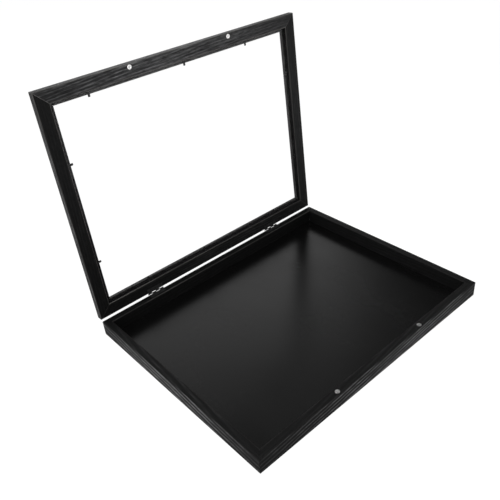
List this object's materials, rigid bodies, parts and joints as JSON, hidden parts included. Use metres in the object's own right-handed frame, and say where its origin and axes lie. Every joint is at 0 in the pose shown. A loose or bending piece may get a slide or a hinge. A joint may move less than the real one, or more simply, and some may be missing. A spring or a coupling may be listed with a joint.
{
  "type": "jersey display frame",
  "caption": "Shallow black wooden display case for a folded shirt, with a hinged lid that holds clear glazing and closes on magnets.",
  "frame": {"origin": "middle of the back face, where the case lies on a table or against a wall", "axes": "+Z out of the back towards the shirt, +X along the hinge line, +Y from the free edge with the magnets towards the hinge edge"},
  "size_m": [0.8, 0.6827, 0.666],
  "materials": {
    "black_wood": "black stain with open grain, satin",
    "black_board": "smooth black faced board, satin",
    "clear_acrylic": "clear, polished",
    "nickel_magnet": "nickel plate",
    "zinc_steel": "bright zinc",
    "black_steel": "black coat, satin"
  },
  "bodies": {
    "box": {"box_rail_front": "black_wood", "box_rail_right": "black_wood", "box_rail_rear": "black_wood", "box_rail_left": "black_wood", "panel_screw_front_1": "zinc_steel", "panel_screw_front_2": "zinc_steel", "panel_screw_front_3": "zinc_steel", "panel_screw_right_1": "zinc_steel", "panel_screw_rear_1": "zinc_steel", "panel_screw_rear_2": "zinc_steel", "panel_screw_rear_3": "zinc_steel", "panel_screw_left_1": "zinc_steel", "back_panel": "black_board", "box_magnet_left": "nickel_magnet", "box_magnet_screw_left": "zinc_steel", "box_hinge_leaf_left": "black_steel", "hinge_pin_left": "black_steel", "box_hinge_screw_left_1": "black_steel", "box_hinge_screw_left_2": "black_steel", "box_magnet_right": "nickel_magnet", "box_magnet_screw_right": "zinc_steel", "box_hinge_leaf_right": "black_steel", "hinge_pin_right": "black_steel", "box_hinge_screw_right_1": "black_steel", "box_hinge_screw_right_2": "black_steel", "hanger_plate_front": "zinc_steel", "hanger_screw_front_1": "zinc_steel", "hanger_screw_front_2": "zinc_steel", "hanger_plate_rear": "zinc_steel", "hanger_screw_rear_1": "zinc_steel", "hanger_screw_rear_2": "zinc_steel"},
    "lid": {"lid_rail_front": "black_wood", "lid_corner_nail_front": "zinc_steel", "lid_rail_right": "black_wood", "lid_corner_nail_right": "zinc_steel", "lid_rail_rear": "black_wood", "lid_corner_nail_rear": "zinc_steel", "lid_rail_left": "black_wood", "lid_corner_nail_left": "zinc_steel", "glazing_tab_front_1": "black_steel", "glazing_tab_front_2": "black_steel", "glazing_tab_front_3": "black_steel", "glazing_tab_right_1": "black_steel", "glazing_tab_right_2": "black_steel", "glazing_tab_rear_1": "black_steel", "glazing_tab_rear_2": "black_steel", "glazing_tab_rear_3": "black_steel", "glazing_tab_left_1": "black_steel", "glazing_tab_left_2": "black_steel", "glazing_sheet": "clear_acrylic", "lid_magnet_left": "nickel_magnet", "lid_magnet_screw_left": "zinc_steel", "lid_hinge_leaf_left": "black_steel", "lid_hinge_screw_left_1": "black_steel", "lid_hinge_screw_left_2": "black_steel", "lid_magnet_right": "nickel_magnet", "lid_magnet_screw_right": "zinc_steel", "lid_hinge_leaf_right": "black_steel", "lid_hinge_screw_right_1": "black_steel", "lid_hinge_screw_right_2": "black_steel"}
  },
  "joints": [
    {"name": "lid_hinge", "type": "hinge", "parent": "box", "child": "lid", "pos_m": [0, 0.3132, 0.04425], "axis": [1, 0, 0], "range_deg": [0, 93.8]}
  ]
}
